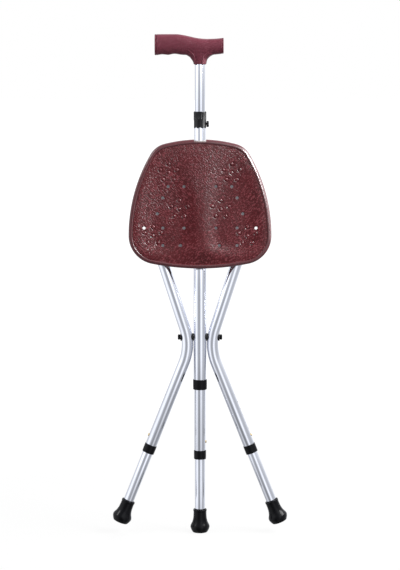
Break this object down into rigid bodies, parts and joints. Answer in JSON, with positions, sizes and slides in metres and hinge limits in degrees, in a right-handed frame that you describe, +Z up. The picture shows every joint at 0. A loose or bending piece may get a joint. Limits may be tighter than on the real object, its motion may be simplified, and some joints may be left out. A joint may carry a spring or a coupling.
{
  "type": "walking stick seat",
  "caption": "Folding tripod walking stick seat: T-handle on a telescoping column, two bowed side legs, a wide vented moulded seat that swings flat on them, and rubber-tipped adjustable feet.",
  "frame": {"origin": "centre of the centre leg's rubber sole, folded, standing upright", "axes": "+X across the two side legs, -Y out of the sitting face, +Z up along the column"},
  "size_m": [0.3012, 0.0452, 0.8581],
  "materials": {
    "anodised_tube": "bright satin anodised, drawn lengthwise",
    "black_plastic": "gloss black moulded",
    "clamp_plastic": "semi-gloss charcoal moulded",
    "nylon": "satin black nylon",
    "handle_plastic": "satin wine red, finely textured",
    "seat_plastic": "satin wine red, leather-like grain",
    "tip_rubber": "gloss black rubber",
    "button_brass": "polished",
    "plain_steel": "zinc plated",
    "pressed_steel": "dark grey coated"
  },
  "bodies": {
    "column": {"column_tube": "anodised_tube", "column_sleeve": "anodised_tube", "column_end_collar": "black_plastic", "sleeve_bottom_collar": "black_plastic", "sleeve_top_collar": "black_plastic", "clamp_ring": "clamp_plastic", "clamp_band": "clamp_plastic", "pivot_bolt": "plain_steel", "left_pivot_cap": "black_plastic", "right_pivot_cap": "black_plastic", "left_column_saddle": "nylon", "right_column_saddle": "nylon"},
    "handle": {"handle_grip": "handle_plastic", "handle_tube": "anodised_tube", "grip_screw": "plain_steel"},
    "lock_knob": {"lock_knob": "clamp_plastic"},
    "centre_foot": {"centre_foot_tube": "anodised_tube", "centre_tip": "tip_rubber", "centre_tip_washer": "plain_steel", "centre_snap_spring": "plain_steel"},
    "centre_button": {"centre_button": "button_brass"},
    "slider": {"slider": "nylon"},
    "seat": {"seat_shell": "seat_plastic", "seat_backing_plate": "pressed_steel", "left_bracket": "pressed_steel", "right_bracket": "pressed_steel", "left_leg_pin": "plain_steel", "right_leg_pin": "plain_steel", "left_leg_spacers": "nylon", "right_leg_spacers": "nylon", "seat_hinge_pins": "plain_steel", "plate_screws": "plain_steel", "bracket_screws": "plain_steel"},
    "left_leg": {"left_leg_tube": "anodised_tube", "left_leg_collar": "black_plastic", "left_leg_cap": "black_plastic", "left_inner_saddle": "nylon", "left_outer_saddle": "nylon"},
    "left_foot": {"left_foot_tube": "anodised_tube", "left_tip": "tip_rubber", "left_tip_washer": "plain_steel", "left_snap_spring": "plain_steel"},
    "left_button": {"left_button": "button_brass"},
    "right_leg": {"right_leg_tube": "anodised_tube", "right_leg_collar": "black_plastic", "right_leg_cap": "black_plastic", "right_inner_saddle": "nylon", "right_outer_saddle": "nylon"},
    "right_foot": {"right_foot_tube": "anodised_tube", "right_tip": "tip_rubber", "right_tip_washer": "plain_steel", "right_snap_spring": "plain_steel"},
    "right_button": {"right_button": "button_brass"}
  },
  "joints": [
    {"name": "legs_open", "type": "hinge", "parent": "column", "child": "left_leg", "pos_m": [0, 0, 0.34], "axis": [1, 0, 0], "range_deg": [0, 58]},
    {"name": "right_leg_open", "type": "hinge", "parent": "column", "child": "right_leg", "pos_m": [0, 0, 0.34], "axis": [1, 0, 0], "range_deg": [0, 58]},
    {"name": "seat_fold", "type": "hinge", "parent": "left_leg", "child": "seat", "pos_m": [0, 0, 0.5065], "axis": [1, 0, 0], "range_deg": [-116, 0]},
    {"name": "slider_turn", "type": "hinge", "parent": "seat", "child": "slider", "pos_m": [0, 0, 0.673], "axis": [1, 0, 0], "range_deg": [0, 58]},
    {"name": "handle_height", "type": "slide", "parent": "column", "child": "handle", "axis": [0, 0, 1], "range_m": [-0.04, 0.09]},
    {"name": "lock_turn", "type": "hinge", "parent": "column", "child": "lock_knob", "pos_m": [0, 0, 0.70565], "axis": [1, 0, 0], "range_deg": [0, 360]},
    {"name": "centre_foot_height", "type": "slide", "parent": "column", "child": "centre_foot", "axis": [0, 0, 1], "range_m": [0, 0.075]},
    {"name": "left_foot_height", "type": "slide", "parent": "left_leg", "child": "left_foot", "axis": [0.3706, 0, 0.9288], "range_m": [0, 0.075]},
    {"name": "right_foot_height", "type": "slide", "parent": "right_leg", "child": "right_foot", "axis": [-0.3706, 0, 0.9288], "range_m": [0, 0.075]},
    {"name": "centre_button_press", "type": "slide", "parent": "centre_foot", "child": "centre_button", "axis": [-1, 0, 0], "range_m": [0, 0.0024], "stiffness_N_per_m": 800, "deforming": ["centre_snap_spring"]},
    {"name": "left_button_press", "type": "slide", "parent": "left_foot", "child": "left_button", "axis": [0.9288, 0, -0.3706], "range_m": [0, 0.0024], "stiffness_N_per_m": 800, "deforming": ["left_snap_spring"]},
    {"name": "right_button_press", "type": "slide", "parent": "right_foot", "child": "right_button", "axis": [-0.9288, 0, -0.3706], "range_m": [0, 0.0024], "stiffness_N_per_m": 800, "deforming": ["right_snap_spring"]}
  ],
  "couplings": [
    {"joint": "right_leg_open", "follows": "legs_open", "ratio": 1},
    {"joint": "seat_fold", "follows": "legs_open", "ratio": -2},
    {"joint": "slider_turn", "follows": "legs_open", "ratio": 1}
  ]
}
